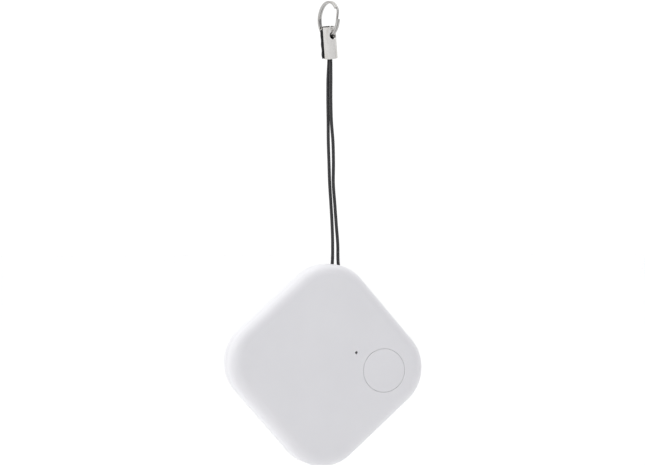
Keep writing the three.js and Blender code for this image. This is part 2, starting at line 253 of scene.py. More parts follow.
def make_room(front, sides, back_shade):
    """White walls all round. The front and the back throw less light on the object than
    the sides do, though the camera sees every wall as white."""
    world = bpy.data.worlds.new("room")
    world.use_nodes = True
    bpy.context.scene.world = world
    room = Nodes(world.node_tree)
    heading = room.add("ShaderNodeTexCoord", output="Generated")
    forwards = room.split(heading)[1]
    seen = room.add("ShaderNodeLightPath", output="Is Camera Ray")
    scattered = room.add("ShaderNodeLightPath", output="Is Diffuse Ray")
    stops = [(0.04, front), (0.30, sides), (0.55, (1.06, 1.06, 1.06))]
    walls = room.add("ShaderNodeValToRGB", {"stops": stops}, {0: forwards * 0.5 + 0.5 + seen})
    shaded = 1 - (forwards > 0.55) * scattered * back_shade
    background = room.tree.nodes["Background"]
    room.tree.links.new(walls.socket, background.inputs["Color"])
    room.tree.links.new(shaded.socket, background.inputs["Strength"])


make_floor()
make_room(front=(0.29, 0.29, 0.30), sides=(0.70, 0.70, 0.72), back_shade=0.42)
soft_light("key_light", place=(-0.60, -0.12, 0.30), size=0.40, power=0.8)
sky_light(strength=0.9, spread_angle=radians(60))


# ---------- strap cord
# Black nylon cord, braided from sixteen yarns and 0.8 mm thick. It goes down from the
# ferrule, round the post inside the case and up again, and both ends stay in the crimp.

cord_diameter = 0.8
cord_sides = 32
cord_step = 0.09
yarns = 8  # each way round
yarn_pitch = 0.46
yarn_relief = 0.05
yarn_dip = 0.45  # share of a yarn's height lost where it goes under
post_place = (1.6, 19.3)
case_roll = radians(3.7)
turn_radius = 1.65
strand_spread = 0.77
slot_middle = Vector((-0.04, 0, 4.7))
left_strand = [
    (0.13, 0.82, -10.05), (0.36, 1.15, -11.80), (0.48, 1.42, -13.35),
    (0.11, 0.95, -18), (-0.01, 0.66, -23), (-0.02, 0.42, -28),
    (-0.05, 0.19, -33), (0.08, 0.08, -38), (0.28, 0.16, -43),
    (0.62, 0.22, -48), (0.88, 0.12, -53), (0.98, 0.04, -57.5),
]
right_strand = [
    (0.34, 0.10, -10.15), (0.56, 0.44, -11.90), (0.70, 0.63, -13.35),
    (0.61, 0.21, -18), (0.51, -0.06, -23), (0.60, -0.18, -28),
    (1.01, -0.13, -33), (1.16, -0.08, -38), (1.10, -0.16, -43),
    (1.46, -0.20, -48), (1.86, -0.12, -53), (2.24, -0.04, -57.5),
]

# Sizes are in millimetres. The case is drawn lying on its back, with x to the right, y
# towards the strap corner and z towards the button side, and stand_up hangs it up.
in_metres = Matrix.Scale(0.001, 4)
case_middle = sum(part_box("back_cover"), Vector()) / 2
case_middle.y = 0
stand_up = (
    Matrix.Translation(case_middle)
    @ Matrix.Rotation(case_roll, 4, "Y")
    @ Matrix.Rotation(pi / 2, 4, "X")
    @ in_metres
)


def cord_route():
    post = 1000 * (stand_up @ Vector((*post_place, 0)))
    across = Vector((strand_spread, 0, 0))
    headings = [radians(degrees) for degrees in range(180, 361, 30)]
    turn = [post + turn_radius * Vector((cos(heading), 0, sin(heading))) for heading in headings]
    down = [Vector(point) for point in left_strand]
    up = [Vector(point) for point in reversed(right_strand)]
    return [*down, post + slot_middle - across, *turn, post + slot_middle + across, *up]


def smooth_path(points, step, samples=60):
    """Points a step apart along the centripetal curve through the given ones."""
    given = np.array(points)
    given = np.vstack([2 * given[0] - given[1], given, 2 * given[-1] - given[-2]])
    gaps = np.linalg.norm(np.diff(given, axis=0), axis=1) ** 0.5
    t = np.linspace(0, 1, samples, endpoint=False)[:, None]
    fine = []
    for i in range(1, len(given) - 2):
        before, here, after, beyond = given[i - 1 : i + 3]
        d0, d1, d2 = gaps[i - 1 : i + 2]
        leave = (here - before) * d1 / d0 - (after - before) * d1 / (d0 + d1) + (after - here)
        arrive = (after - here) - (beyond - here) * d1 / (d1 + d2) + (beyond - after) * d1 / d2
        fine.append(
            here
            + t * leave
            + t**2 * (3 * (after - here) - 2 * leave - arrive)
            + t**3 * (2 * (here - after) + leave + arrive)
        )
    fine = np.vstack([*fine, given[-2:-1]])
    run = np.concatenate([[0.0], np.cumsum(np.linalg.norm(np.diff(fine, axis=0), axis=1))])
    places = np.linspace(0, run[-1], round(run[-1] / step) + 1)
    return np.stack([np.interp(places, run, fine[:, axis]) for axis in range(3)], axis=1), places


def braid_height(around, along):
    """The height of the braid from 0 to 1, where yarns pass over and under in turn."""
    first = yarns * around + along / yarn_pitch
    second = yarns * around - along / yarn_pitch
    first_on_top = (np.floor(first) + np.floor(second)) % 2 == 0
    crest_first = np.sin(pi * (first % 1))
    crest_second = np.sin(pi * (second % 1))
    across = np.where(first_on_top, crest_first, crest_second)
    lengthwise = np.where(first_on_top, crest_second, crest_first)
    return np.sqrt(across) * (1 - yarn_dip + yarn_dip * lengthwise)


def tube_mesh(name, path, places, radius, sides, facing):
    """A closed tube along a path near the plane that facing is square to. Its radius may
    be a function of the share of the way round and the length along, which are its UV."""
    tangents = np.gradient(path, axis=0)
    tangents /= np.linalg.norm(tangents, axis=1)[:, None]
    facing = np.array(facing)
    sideways = facing - tangents * (tangents @ facing)[:, None]
    sideways /= np.linalg.norm(sideways, axis=1)[:, None]
    upwards = np.cross(tangents, sideways)
    turn = np.arange(sides) / sides
    if callable(radius):
        radius = radius(turn[None, :], places[:, None])
    radii = np.broadcast_to(radius, (len(path), sides))
    cosines, sines = np.cos(tau * turn)[None, :, None], np.sin(tau * turn)[None, :, None]
    spokes = cosines * sideways[:, None] + sines * upwards[:, None]
    rings = path[:, None] + radii[:, :, None] * spokes
    faces = []
    for ring in range(len(path) - 1):
        for side in range(sides):
            here = ring * sides
            there = here + sides
            following = (side + 1) % sides
            faces.append((here + side, here + following, there + following, there + side))
    faces.append(range(sides - 1, -1, -1))
    faces.append(range((len(path) - 1) * sides, len(path) * sides))
    mesh = bpy.data.meshes.new(name)
    mesh.from_pydata(rings.reshape(-1, 3), [], faces)
    uv = mesh.uv_layers.new(name="round_and_length")
    for face in mesh.polygons:
        for corner in face.loop_indices:
            ring, side = divmod(mesh.loops[corner].vertex_index, sides)
            wrapped = side == 0 and face.index % sides == sides - 1
            uv.data[corner].uv = (1.0 if wrapped else side / sides, places[ring])
    return mesh


def floored(value):
    return value.math("FLOOR", value)


def wave(value):
    return value.math("SINE", value)


def nylon_braid():
    """Black yarns of a few dozen filaments, fuzzy enough to catch a little light."""
    finish = Finish("black_nylon_braid", {"Sheen Weight": 0.35, "Sheen Roughness": 0.4})
    around, along, _ = finish.split(finish.place("UV"))
    first = around * yarns + along / yarn_pitch
    second = around * yarns - along / yarn_pitch
    first_on_top = (floored(first) + floored(second)) % 2 < 0.5
    across = (first % 1) * first_on_top + (second % 1) * (1 - first_on_top)
    filament = wave(across * tau * 6)
    lint = finish.noise(finish.place(), 0.0004, 4)
    shade = lint * 0.7 + filament * 0.1
    colour = finish.ramp(shade, (0.1, (0.010, 0.010, 0.011)), (0.75, (0.050, 0.050, 0.053)))
    finish.drive({"Base Color": colour, "Roughness": lint * 0.25 + 0.5})
    finish.bump(filament * 0.5 + lint, 0.000012)
    return finish


def add_piece(name, mesh, finish, body, slot, *nodes):
    """Put a mesh in the scene, on its body if it has only one, in place of its CAD nodes.
    It takes the given finish, unless its faces have theirs."""
    if finish:
        mesh.materials.clear()
        mesh.materials.append(finish.material)
    piece = in_scene(name, mesh)
    if body:
        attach(piece, body)
    if nodes:
        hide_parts(*nodes)
    return piece


def strap_cord():
    path, places = smooth_path(cord_route(), cord_step)

    def radius_at(around, along):
        return cord_diameter / 2 - yarn_relief * (1 - braid_height(around, along))

    mesh = tube_mesh("braided_cord", path, places, radius_at, cord_sides, facing=(0, 1, 0))
    mesh.shade_smooth()
    mesh.transform(in_metres)
    cord = add_piece("braided_cord", mesh, nylon_braid(), None, "black_cord", "strap_cord")
    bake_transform(cord)
    return cord, [in_metres @ Vector(point) for point in path[::8]]


cord, cord_path = strap_cord()


# ---------- crimped cord end
# The two ends of the cord, melted into one black lump that fills the ferrule's bore.
# A tail of it stands up beside the ring, behind the ferrule's open seam.

ferrule_middle = (-0.1, 0, -7.55)
ferrule_lean = (radians(10.5), radians(-7.35))
seam_heading = -91.5
seam_opening = 67
bore_radius = 1.5
plug_bottom = -5.6
plug_top = -1.3
plug_radius = bore_radius - 0.06
plug_sides = 64
plug_levels = 70
tail_top = 1.35
tail_inside = 1.02  # how far the tail stays from the ferrule's axis
shoulder_height = 0.5
end_rounding = {"least": 0.75, "slope": 1.2}
bulge = {"height": 0.46, "slope": 9, "lumps": 0.03}
in_ferrule = (
    in_metres
    @ Matrix.Translation(ferrule_middle)
    @ Matrix.Rotation(ferrule_lean[0], 4, "X")
    @ Matrix.Rotation(ferrule_lean[1], 4, "Y")
)


def bearing(degrees):
    """The direction that lies so far from the front towards the right."""
    return Vector((sin(radians(degrees)), -cos(radians(degrees)), 0))


def loft(name, rings):
    """A closed solid through rings of points that go round in the same way."""
    count = len(rings[0])
    faces = [range(count - 1, -1, -1), range((len(rings) - 1) * count, len(rings) * count)]
    for ring in range(len(rings) - 1):
        for side in range(count):
            here, following = ring * count + side, ring * count + (side + 1) % count
            faces.append((here, following, following + count, here + count))
    mesh = bpy.data.meshes.new(name)
    mesh.from_pydata([point for ring in rings for point in ring], [], faces)
    return mesh


def crimped_end():
    """Rings of a lump that fills the bore, bulges out of the seam, and draws back to the
    seam side above the crimp."""
    rings = []
    for height in np.linspace(plug_bottom, tail_top, plug_levels):
        climbed = np.clip((height - plug_top) / shoulder_height, 0, 1)
        drawn_back = climbed * climbed * (3 - 2 * climbed)
        from_end = min(height - plug_bottom, tail_top - height)
        rounding = min(1.0, end_rounding["least"] + end_rounding["slope"] * from_end)
        ring = []
        for step in range(plug_sides):
            heading = -360 * step / plug_sides
            off_seam = abs((heading - seam_heading + 180) % 360 - 180)
            squeezed = np.clip((seam_opening / 2 - off_seam) / bulge["slope"], 0, 1)
            waves = sin(5 * tau * step / plug_sides + 3 * height) + sin(2.3 * height)
            pushed = squeezed * (bulge["height"] + bulge["lumps"] * waves)
            point = bearing(heading) * (plug_radius + pushed) * rounding
            towards_seam = point.dot(bearing(seam_heading))
            point += bearing(seam_heading) * max(0.0, tail_inside - towards_seam) * drawn_back
            ring.append(point + Vector((0, 0, height)))
        rings.append(ring)
    return loft("fused_cord_end", rings)


def mottled(name, constants, lump, detail, stops, roughness, relief):
    """A finish in lumps of one size that shade between stops, the lighter the rougher."""
    finish = Finish(name, constants)
    lumps = finish.noise(finish.place(), lump, detail)
    smooth, rough = roughness
    rough_or_not = lumps * (rough - smooth) + smooth
    finish.drive({"Base Color": finish.ramp(lumps, *stops), "Roughness": rough_or_not})
    finish.bump(lumps, relief)
    return finish


plug_mesh = crimped_end()
plug_mesh.transform(in_ferrule)
plug_mesh.shade_smooth()
shades = (0.3, (0.004, 0.004, 0.004)), (0.8, (0.014, 0.014, 0.015))
melted = {"Specular IOR Level": 0.2}
nylon = mottled("fused_black_nylon", melted, 0.0005, 5, shades, (0.5, 0.9), 0.00008)
fused_end = add_piece("fused_cord_end", plug_mesh, nylon, "ferrule", "black_cord", "crimped_cord_end")


# ---------- ferrule
# One strip of nickel-plated steel, punched with two round holes for the ring, rolled
# into an open tube and crimped round the cord. The cut edges are tumbled smooth.

ferrule_radius = 1.86
ferrule_wall = 0.36
ferrule_top = 1.95
ferrule_mouth = -5.65
ring_hole = {"radius": 1.0, "heading": 25, "patch": 45, "reach": 1.4}
across_patch = 12


def spread(first, last, count):
    return [first + (last - first) * step / count for step in range(count + 1)]


def stretches(places, counts):
    """Places split further, each stretch between two of them into its count of steps."""
    split = [spread(*pair, count)[:-1] for *pair, count in zip(places, places[1:], counts)]
    return [*sum(split, []), places[-1]]


def hole_patch(heading):
    """Quads between a round hole and the edge of a square patch of the strip."""
    reach, half = ring_hole["reach"], ring_hole["patch"]
    side = spread(-1, 1, across_patch)[:-1]
    rim = [(a, -1) for a in side] + [(1, b) for b in side]
    rim += [(-a, -b) for a, b in rim]
    rings = []
    for share in (0, 0.06, 0.2, 0.5, 1):
        ring = []
        for a, b in rim:
            out = Vector((a * half * pi / 180 * ferrule_radius, b * reach))
            drilled = out.normalized() * ring_hole["radius"]
            drilled.x = ferrule_radius * np.arcsin(drilled.x / ferrule_radius)
            place = drilled.lerp(out, share)
            ring.append((heading + place.x / ferrule_radius * 180 / pi, place.y))
        rings.append(ring)
    quads = []
    for inner, outer in zip(rings, rings[1:]):
        for i in range(len(rim)):
            j = (i + 1) % len(rim)
            quads.append((inner[i], outer[i], outer[j], inner[j]))
    return quads


def rolled_strip():
    """The strip's outside as quads of (heading, height), with its holes punched."""
    first, last = seam_heading + seam_opening / 2, seam_heading - seam_opening / 2 + 360
    half, reach = ring_hole["patch"], ring_hole["reach"]
    near, far = holes = [ring_hole["heading"], ring_hole["heading"] + 180]
    steps = across_patch
    columns = (first, near - half, near + half, far - half, far + half, last)
    columns = stretches(columns, (4, steps, 12, steps, 1))
    rows = stretches((ferrule_mouth, -reach, reach, ferrule_top), (12, steps, 3))
    quads = [quad for heading in holes for quad in hole_patch(heading)]
    for left, right in zip(columns, columns[1:]):
        for low, high in zip(rows, rows[1:]):
            in_patch = any(abs((left + right) / 2 - heading) < half for heading in holes)
            if not (in_patch and abs((low + high) / 2) < reach):
                quads.append(((left, low), (right, low), (right, high), (left, high)))
    return quads


def shaped(mesh, *modifiers):
    """The mesh after its modifiers, each given as its type and its settings. The inputs
    of a Geometry Nodes modifier are set by their identifiers."""
    work = in_scene("work", mesh)
    for kind, settings in modifiers:
        modifier = work.modifiers.new(kind, kind)
        for name, setting in settings.items():
            if hasattr(modifier, name):
                setattr(modifier, name, setting)
            else:
                modifier[name] = setting
    graph = bpy.context.evaluated_depsgraph_get()
    result = bpy.data.meshes.new_from_object(work.evaluated_get(graph))
    result.name = mesh.name
    bpy.data.objects.remove(work)
    return result


def smoothed(mesh, angle=40):
    """Smooth shading that keeps flat faces flat and breaks at sharp edges."""
    mesh.shade_smooth()
    mesh.set_sharp_from_angle(angle=radians(angle))
    return shaped(mesh, ("WEIGHTED_NORMAL", {"keep_sharp": True, "weight": 80}))


def finished_mesh(name, build):
    mesh = bpy.data.meshes.new(name)
    build.to_mesh(mesh)
    build.free()
    return mesh


def rolled_ferrule():
    build = bmesh.new()
    for quad in rolled_strip():
        corners = [bearing(heading) * ferrule_radius + Vector((0, 0, z)) for heading, z in quad]
        build.faces.new([build.verts.new(corner) for corner in corners])
    bmesh.ops.remove_doubles(build, verts=build.verts, dist=0.001)
    bmesh.ops.recalc_face_normals(build, faces=build.faces)
    outward = [face.normal.dot(face.calc_center_median()) * face.calc_area() for face in build.faces]
    if sum(outward) < 0:
        bmesh.ops.reverse_faces(build, faces=build.faces)
    mesh = finished_mesh("rolled_ferrule", build)
    edge = {"width": 0.07, "segments": 3, "limit_method": "ANGLE", "angle_limit": radians(50)}
    wall = {"thickness": ferrule_wall, "offset": -1.0}
    return smoothed(shaped(mesh, ("SOLIDIFY", wall), ("BEVEL", edge)))


def nickel_plate(name, drawn, brightness=1.0):
    """Nickel with fine scratches and a little tarnish along the way it was drawn."""
    finish = Finish(name, {"Metallic": 1.0})
    here = finish.place()
    scratches = finish.noise(here, 0.00008, 3, drawn)
    tarnish = finish.noise(here, 0.0012, 4, drawn)
    clean_or_not = finish.ramp(tarnish, (0.45, (0.0, 0.0, 0.0)), (0.75, (1.0, 1.0, 1.0)))
    clean = [level * brightness for level in (0.62, 0.61, 0.595)]
    dull = [level * brightness for level in (0.49, 0.46, 0.42)]
    colour = finish.mixed(clean_or_not, clean, dull)
    finish.drive({"Base Color": colour, "Roughness": scratches * 0.16 + tarnish * 0.12 + 0.08})
    finish.bump(scratches, 0.000004)
    return finish


ferrule_mesh = rolled_ferrule()
ferrule_mesh.transform(in_ferrule)
ferrule_plate = nickel_plate("nickel_plated_ferrule", (1, 1, 0.06))
rolled = add_piece("rolled_ferrule", ferrule_mesh, ferrule_plate, "ferrule", "nickel_plate", "ferrule")


# ---------- split ring
# Nearly two turns of flat sprung wire, nickel plated. It steps over from one coil to the
# other between its two cut ends, and hangs through the ferrule's holes.

ring_wire = {"Radius": 4.05, "Pitch": 0.5, "Wire Width": 0.45, "Wire Depth": 0.5, "Wire Corner": 0.12}
ring_wire |= {"First End": 95.0, "Second End": 775.0, "Step Start": 415.0, "Step End": 455.0}
ring_steps = 480
ring_middle = (0, 0, -3.8)
ring_heading = radians(-75)
in_ring = (
    in_metres
    @ Matrix.Translation(ring_middle)
    @ Matrix.Rotation(ring_heading, 4, "Z")
    @ Matrix.Rotation(radians(-90), 4, "X")
)


class Builder(Nodes):
    """A Geometry Nodes tree with named sizes, whose result becomes a plain mesh."""

    def __init__(self, name, sizes):
        super().__init__(bpy.data.node_groups.new(name, "GeometryNodeTree"))
        self.tree.interface.new_socket("Geometry", in_out="OUTPUT", socket_type="NodeSocketGeometry")
        self.identifiers = {}
        for size, value in sizes.items():
            kind = "NodeSocketInt" if isinstance(value, int) else "NodeSocketFloat"
            socket = self.tree.interface.new_socket(size, in_out="INPUT", socket_type=kind)
            self.identifiers[size] = socket.identifier
        self.sizes = sizes
        self.entry = self.tree.nodes.new("NodeGroupInput")

    def size(self, name):
        return Value(self, self.entry.outputs[name])

    def combined(self, x, y, z):
        return self.add("ShaderNodeCombineXYZ", None, {0: x, 1: y, 2: z})

    def built(self, geometry, finish):
        """The mesh, with its instances made real and its finish set."""
        real = self.add("GeometryNodeRealizeInstances", None, {0: geometry})
        done = self.add("GeometryNodeSetMaterial", None, {0: real, "Material": finish.material})
        self.tree.links.new(done.socket, self.tree.nodes.new("NodeGroupOutput").inputs[0])
        settings = {"node_group": self.tree}
        for size, value in self.sizes.items():
            settings[self.identifiers[size]] = value
        return shaped(bpy.data.meshes.new(self.tree.name), ("NODES", settings))


def split_ring(finish):
    ring = Builder("split_ring_wire", {"Steps": ring_steps, **ring_wire})
    first, second = ring.size("First End"), ring.size("Second End")
    count = ring.size("Steps")
    line = ring.add("GeometryNodeMeshLine", None, {"Count": count})
    index = ring.add("GeometryNodeInputIndex")
    degrees = first + (second - first) * index / (count - 1)
    span = {"interpolation_type": "SMOOTHSTEP"}
    edges = {"Value": degrees, "From Min": ring.size("Step Start"), "From Max": ring.size("Step End")}
    stepped = ring.add("ShaderNodeMapRange", span, edges)
    angle = degrees * (pi / 180)
    radius = ring.size("Radius")
    across = ring.size("Pitch") * (0.5 - stepped)
    place = ring.combined(radius * wave(angle), radius * wave(angle - pi / 2), across)
    bent = ring.add("GeometryNodeSetPosition", None, {"Geometry": line, "Position": place})
    path = ring.add("GeometryNodeMeshToCurve", None, {0: bent})
    path = ring.add("GeometryNodeSetCurveNormal", {"mode": "Z_UP"}, {0: path})
    flat = {"Width": ring.size("Wire Depth"), "Height": ring.size("Wire Width")}
    section = ring.add("GeometryNodeCurvePrimitiveQuadrilateral", None, flat)
    corner = {"Curve": section, "Radius": ring.size("Wire Corner"), "Count": 4}
    section = ring.add("GeometryNodeFilletCurve", {"mode": "POLY"}, corner)
    wire = {"Curve": path, "Profile Curve": section, "Fill Caps": True}
    return ring.built(ring.add("GeometryNodeCurveToMesh", None, wire), finish)


ring_plate = nickel_plate("nickel_plated_ring", (0.5, 0.5, 0.5), 0.75)
ring_mesh = smoothed(split_ring(ring_plate), 50)
ring_mesh.transform(in_ring)
ring = add_piece("split_ring_wire", ring_mesh, ring_plate, "ring", "nickel_plate", "split_ring")


# ---------- front shell
# The front half of the case, injection moulded in satin white ABS. Inside it carry the
# post that the cord goes round, four stakes for the board and half of the pocket's rib.

case = {"side": 40, "corner": 10.3, "front": 4.0, "wall": 1.5}
front_edge = {"width": 3.0, "depth": 2.3}
case_inside = {"front": 2.8, "back": -3.1, "edge": 0.8}
corner_reach = (case["side"] / 2 - case["corner"]) * 2**0.5
parting = {"front": -0.35, "cover": -0.45, "ease": 0.12}
tongue = {"width": 0.65, "height": 1.0, "gap": 0.1}
button_place = (13.83, -0.51)
button_hole = {"place": button_place, "radius": 5.22, "ease": 0.06}
sound_hole = {"place": (6.65, 3.4), "radius": 0.33, "ease": 0.06}
strap_post = {"radius": 1.0, "gap": 0.2}
shoulder = {"radius": 2.2, "gap": 2.0}
root = 0.2  # how far a fitting runs into the wall that it stands on
strap_slot = {"width": 5.2, "height": 1.6, "low": 20.4, "high": 26.4}
pocket_rib = {"y": 15.3, "thickness": 0.8}
board = {"bottom": 0.65, "top": 1.45}
stake_places = [(-11, 9), (-12, -8), (0.5, -17), (10.5, 10.5)]
stake = {"radius": 0.6, "tip": 0.3, "shoulder_gap": 0.1, "hole_gap": 0.2}
corner_steps = 28


def rounded_square(margin, height):
    """The case's outline, a rounded square on one corner, set in by a margin."""
    ring = []
    for corner in range(4):
        middle = corner_reach * Vector((cos(corner * pi / 2), sin(corner * pi / 2), 0))
        for heading in spread(corner * 90 - 45, corner * 90 + 45, corner_steps):
            out = Vector((cos(radians(heading)), sin(radians(heading)), 0))
            ring.append(middle + out * (case["corner"] - margin) + Vector((0, 0, height)))
    return ring


def rounded_edge(margin, height, width, depth, steps):
    """Margins and heights along a rounded edge, from its side to the face at that height.
    A negative depth is for a face that looks down, and a negative width for a radius."""
    turns = [radians(turn) for turn in spread(0, 90, steps)]
    return [(margin + width * (1 - cos(t)), height + depth * (sin(t) - 1)) for t in turns]


def moulding(name, profile):
    """A closed solid of the case's outline through (margin, height) pairs, upwards."""
    return loft(name, [rounded_square(margin, height) for margin, height in profile])


def case_core(name):
    wall, ease = case["wall"], case_inside["edge"]
    low = rounded_edge(wall, case_inside["back"], ease, -ease, 5)
    high = rounded_edge(wall, case_inside["front"], ease, ease, 5)
    return moulding(name, [*reversed(low), *high])


def turned(name, place, profile, steps=64):
    """A closed solid of revolution from (radius, height) pairs, the last joined to the first."""
    build = bmesh.new()
    rings = []
    for radius, height in profile:
        if radius < 1e-6:
            rings.append([build.verts.new((*place, height))] * steps)
            continue
        ring = []
        for turn in range(steps):
            x, y = radius * cos(tau * turn / steps), radius * sin(tau * turn / steps)
            ring.append(build.verts.new((place[0] + x, place[1] + y, height)))
        rings.append(ring)
    for near, far in zip(rings, rings[1:] + rings[:1]):
        for turn in range(steps):
            corners = dict.fromkeys([near[turn], near[turn - 1], far[turn - 1], far[turn]])
            if len(corners) > 2:
                build.faces.new(list(corners))
    bmesh.ops.recalc_face_normals(build, faces=build.faces)
    return finished_mesh(name, build)


def drum(place, radius, bottom, top, ease=0.08, steps=48):
    """A round post or disc whose two edges are eased."""
    profile = [(0, bottom), (radius - ease, bottom), (radius, bottom + ease)]
    profile += [(radius, top - ease), (radius - ease, top), (0, top)]
    return turned("drum", place, profile, steps)


def bore(place, radius, bottom, top, flare=0.0):
    """A cutter for a round hole, whose mouth at the top is rounded over."""
    mouth_edge = rounded_edge(radius, top, flare, flare, 6)
    profile = [(0, bottom), (radius, bottom), *mouth_edge, (radius + flare, top + 1), (0, top + 1)]
    return turned("bore", place, profile, 96)


def bar(middle, size, turn=0, ease=0.0, segments=2):
    """A rectangular block, whose edges are eased if asked."""
    build = bmesh.new()
    bmesh.ops.create_cube(build, size=1)
    bmesh.ops.scale(build, vec=size, verts=build.verts)
    if ease:
        round_over = {"segments": segments, "profile": 0.5, "affect": "EDGES"}
        bmesh.ops.bevel(build, geom=build.edges, offset=ease, **round_over)
    bmesh.ops.rotate(build, matrix=Matrix.Rotation(radians(turn), 3, "Z"), verts=build.verts)
    bmesh.ops.translate(build, vec=middle, verts=build.verts)
    return finished_mesh("bar", build)


def carved(mesh, operation, *tools):
    """The mesh with each tool cut from it, joined to it, or kept in common with it."""
    for tool in tools:
        knife = in_scene("knife", tool)
        cut = {"operation": operation, "solver": "MANIFOLD", "object": knife}
        mesh = shaped(mesh, ("BOOLEAN", cut))
        bpy.data.objects.remove(knife)
    return mesh


def level_bar(place, size, bottom, top, turn=0, ease=0.0, segments=2):
    """A block between two heights, on the lying case."""
    return bar((*place, (bottom + top) / 2), (*size, top - bottom), turn, ease, segments)


def slot_cutter():
    low, high, half = strap_slot["low"], strap_slot["high"], strap_slot["height"] / 2
    place, size = (post_place[0], (low + high) / 2), (strap_slot["width"], high - low)
    return level_bar(place, size, -half, half, ease=0.25, segments=3)


def rib_between(bottom, top):
    size = (case["side"], pocket_rib["thickness"])
    margin = case["wall"] - root
    inside = moulding("inside", [(margin, bottom - 1), (margin, top + 1)])
    return carved(level_bar((0, pocket_rib["y"]), size, bottom, top), "INTERSECT", inside)


def front_shell():
    front, ease = case["front"], parting["ease"]
    rim = rounded_edge(0, parting["front"], ease, -ease, 3)
    edge = rounded_edge(0, front, front_edge["width"], front_edge["depth"], 18)
    shell = moulding("front_moulding", [*reversed(rim), *edge])
    rebate_margin = case["wall"] - tongue["width"]
    rebate_top = parting["front"] + tongue["height"]
    rebate = moulding("rebate", [(rebate_margin, parting["front"] - 1), (rebate_margin, rebate_top)])
    shell = carved(shell, "DIFFERENCE", case_core("core"), rebate)
    inside = case_inside["front"] + root
    fittings = [
        rib_between(rebate_top, inside),
        drum(post_place, shoulder["radius"], shoulder["gap"] / 2, inside),
        drum(post_place, strap_post["radius"], case_inside["back"] + strap_post["gap"], inside, 0.15),
    ]
    for place in stake_places:
        fittings.append(drum(place, 2 * stake["radius"], board["top"] + stake["shoulder_gap"], inside))
        fittings.append(drum(place, stake["radius"], board["bottom"] - stake["tip"], inside, 0.12))
    shell = carved(shell, "UNION", *fittings)
    low = case_inside["front"] - 1
    cutters = [slot_cutter()]
    for hole in (button_hole, sound_hole):
        cutters.append(bore(hole["place"], hole["radius"], low, front, hole["ease"]))
    return carved(shell, "DIFFERENCE", *cutters)


def white_plastic(name):
    """Satin ABS: a fine even grain from the mould, and faint hairlines from use."""
    finish = Finish(name, {"IOR": 1.53})
    here = finish.place()
    grain = finish.noise(here, 0.00022, 2)
    cloud = finish.noise(here, 0.009, 2)
    hairlines = finish.noise(here, 0.0009, 4, (1, 1, 14)) * finish.noise(here, 0.0012, 3, (12, 1, 1))
    colour = finish.ramp(cloud, (0.3, (0.795, 0.792, 0.815)), (0.7, (0.815, 0.812, 0.835)))
    finish.drive({"Base Color": colour, "Roughness": grain * 0.08 + hairlines * 0.30 + 0.30})
    finish.bump(grain, 0.0000035)
    return finish


shell_plastic = white_plastic("satin_white_shell")


def add_case_piece(name, mesh, finish, body, slot, *nodes):
    """Shade a piece that is drawn lying down, hang it up and put it in the scene."""
    hung = smoothed(mesh)
    hung.transform(stand_up)
    hung.name = name
    return add_piece(name, hung, finish, body, slot, *nodes)


add_case_piece("front_moulding", front_shell(), shell_plastic, "case", "white_shell", "front_shell")


# ---------- button cap
# A separate white moulding, level with the front. A flange inside the hole keeps it in,
# and a nib at its middle presses the switch.

cap = {"radius": 5.16, "ease": 0.06, "bottom": 2.4, "web": 2.9, "hollow": 4.09, "nib": 1.5}
flange = {"radius": 5.9, "top": 2.7}


def button_cap():
    top, bottom, web = case["front"], cap["bottom"], cap["web"]
    profile = [(0, bottom), (cap["nib"], bottom), (cap["nib"], web), (cap["hollow"], web)]
    profile += [(cap["hollow"], bottom), (flange["radius"], bottom), (flange["radius"], flange["top"])]
    profile += [(cap["radius"], flange["top"])]
    profile += rounded_edge(cap["radius"], top, -cap["ease"], cap["ease"], 6)
    profile += [(0, top)]
    return turned("button_moulding", button_place, profile, 128)


button_plastic = white_plastic("satin_white_button")
add_case_piece("button_moulding", button_cap(), button_plastic, "button", "white_button", "button_cap")


# ---------- switch
# A 3.6 mm surface-mount push switch under the button: a stamped nickel frame on a black
# base with four soldered legs, and the black plunger that the cap's nib presses.

switch = {"size": 3.6, "bottom": 1.48, "top": 1.95, "well": 0.95}
switch_base = {"size": 3.7, "height": 0.12}
switch_rivet = {"radius": 0.18, "from_edge": 0.35, "reach": (-0.05, 0.04)}
switch_legs = {"count": 2, "pitch": 2.4, "gap": 4.0, "pin": (0.5, 0.7, 0.14)}
plunger = {"radius": 0.8, "bottom": 1.9, "top": 2.3}


def moulded_black(name, lump=0.00015):
    """Glass-filled black nylon, with a dull mottled skin."""
    finish = Finish(name, {"IOR": 1.5})
    here = finish.place()
    grain = finish.noise(here, lump, 3)
    cloud = finish.noise(here, 0.004, 2)
    shade = cloud * 0.5 + grain * 0.5
    colour = finish.ramp(shade, (0.3, (0.012, 0.012, 0.013)), (0.7, (0.028, 0.028, 0.030)))
    finish.drive({"Base Color": colour, "Roughness": grain * 0.25 + 0.35})
    finish.bump(grain, 0.000006)
    return finish


def tinned(name):
    """Reflowed solder and tin plate: bright, softly dimpled metal with dull patches."""
    finish = Finish(name, {"Metallic": 1.0})
    here = finish.place()
    dull = finish.noise(here, 0.0006, 3)
    colour = finish.ramp(dull, (0.35, (0.72, 0.72, 0.73)), (0.7, (0.56, 0.56, 0.57)))
    finish.drive({"Base Color": colour, "Roughness": dull * 0.3 + 0.15})
    finish.bump(finish.noise(here, 0.0003, 2), 0.00001)
    return finish


black_mould = moulded_black("black_nylon")
solder = tinned("tinned_metal")


def assembled(name, *parts):
    """One mesh from parts, each a mesh and its finish."""
    build = bmesh.new()
    materials = []
    for mesh, finish in parts:
        start = len(build.faces)
        build.from_mesh(mesh)
        if finish.material not in materials:
            materials.append(finish.material)
        build.faces.ensure_lookup_table()
        for face in build.faces[start:]:
            face.material_index = materials.index(finish.material)
    whole = finished_mesh(name, build)
    for material in materials:
        whole.materials.append(material)
    return whole


